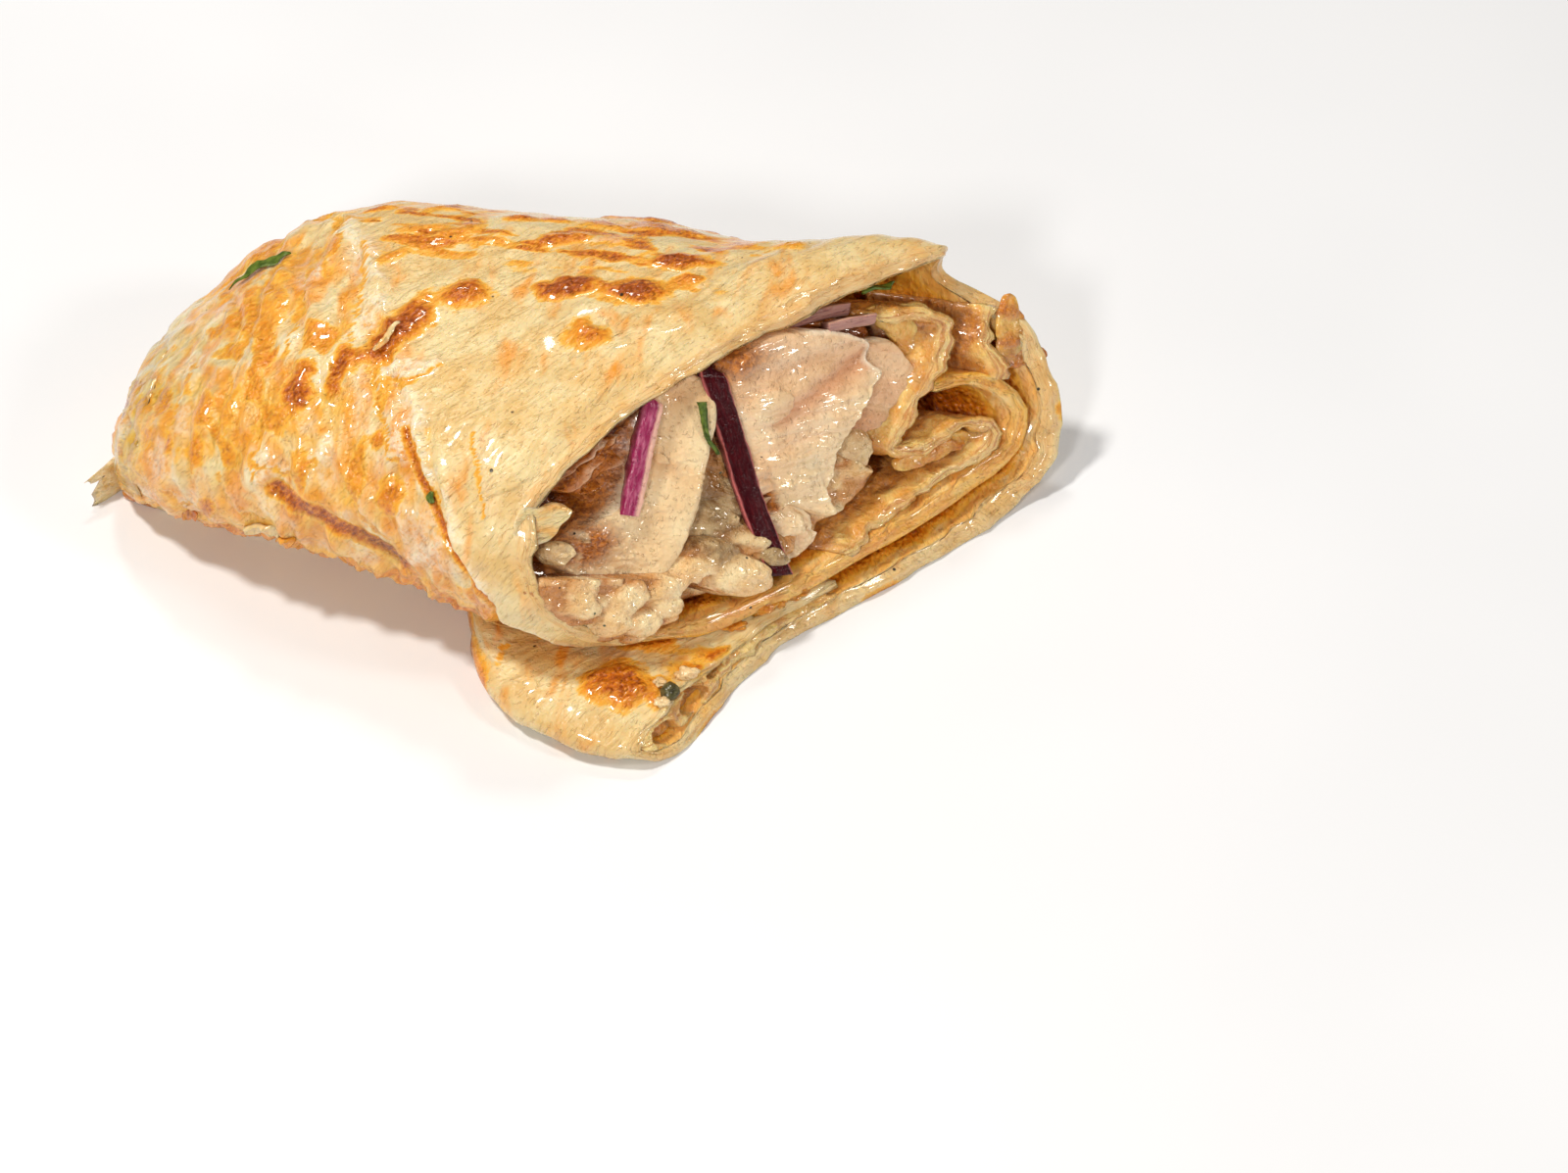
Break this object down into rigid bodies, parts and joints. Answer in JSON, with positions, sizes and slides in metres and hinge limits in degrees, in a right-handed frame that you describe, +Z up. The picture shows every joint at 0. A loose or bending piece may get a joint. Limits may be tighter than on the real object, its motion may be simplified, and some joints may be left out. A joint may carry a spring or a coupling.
{
  "type": "kathi roll",
  "caption": "Cut half of a kathi roll: a flaky toasted flatbread folded round chicken, onion and creamy sauce, lying on its folded side with its slanted cut mouth open.",
  "frame": {"origin": "middle of the footprint, on the surface that the roll lies on", "axes": "+X along the roll from its closed tail to its cut mouth, +Y to the side away from the near fold, +Z up"},
  "size_m": [0.1505, 0.0874, 0.0463],
  "materials": {
    "bread": "flaky fried flatbread, slightly oily",
    "sauce": "creamy sauce, wet",
    "chicken": "cooked chicken, moist",
    "purple_onion": "onion skin, shiny",
    "pink_onion": "cut onion, moist",
    "pale_onion": "cooked onion, moist",
    "herb": "fresh leaf"
  },
  "bodies": {
    "root": {"wrap": "bread", "filling": "sauce", "chicken_large": "chicken", "chicken_left": "chicken", "chicken_side": "chicken", "chicken_shred": "chicken", "onion_purple": "purple_onion", "onion_pink": "pink_onion", "onion_pale_long": "pale_onion", "onion_pale_short": "pale_onion", "herb_blade": "herb", "herb_leaf": "herb"}
  },
  "joints": []
}
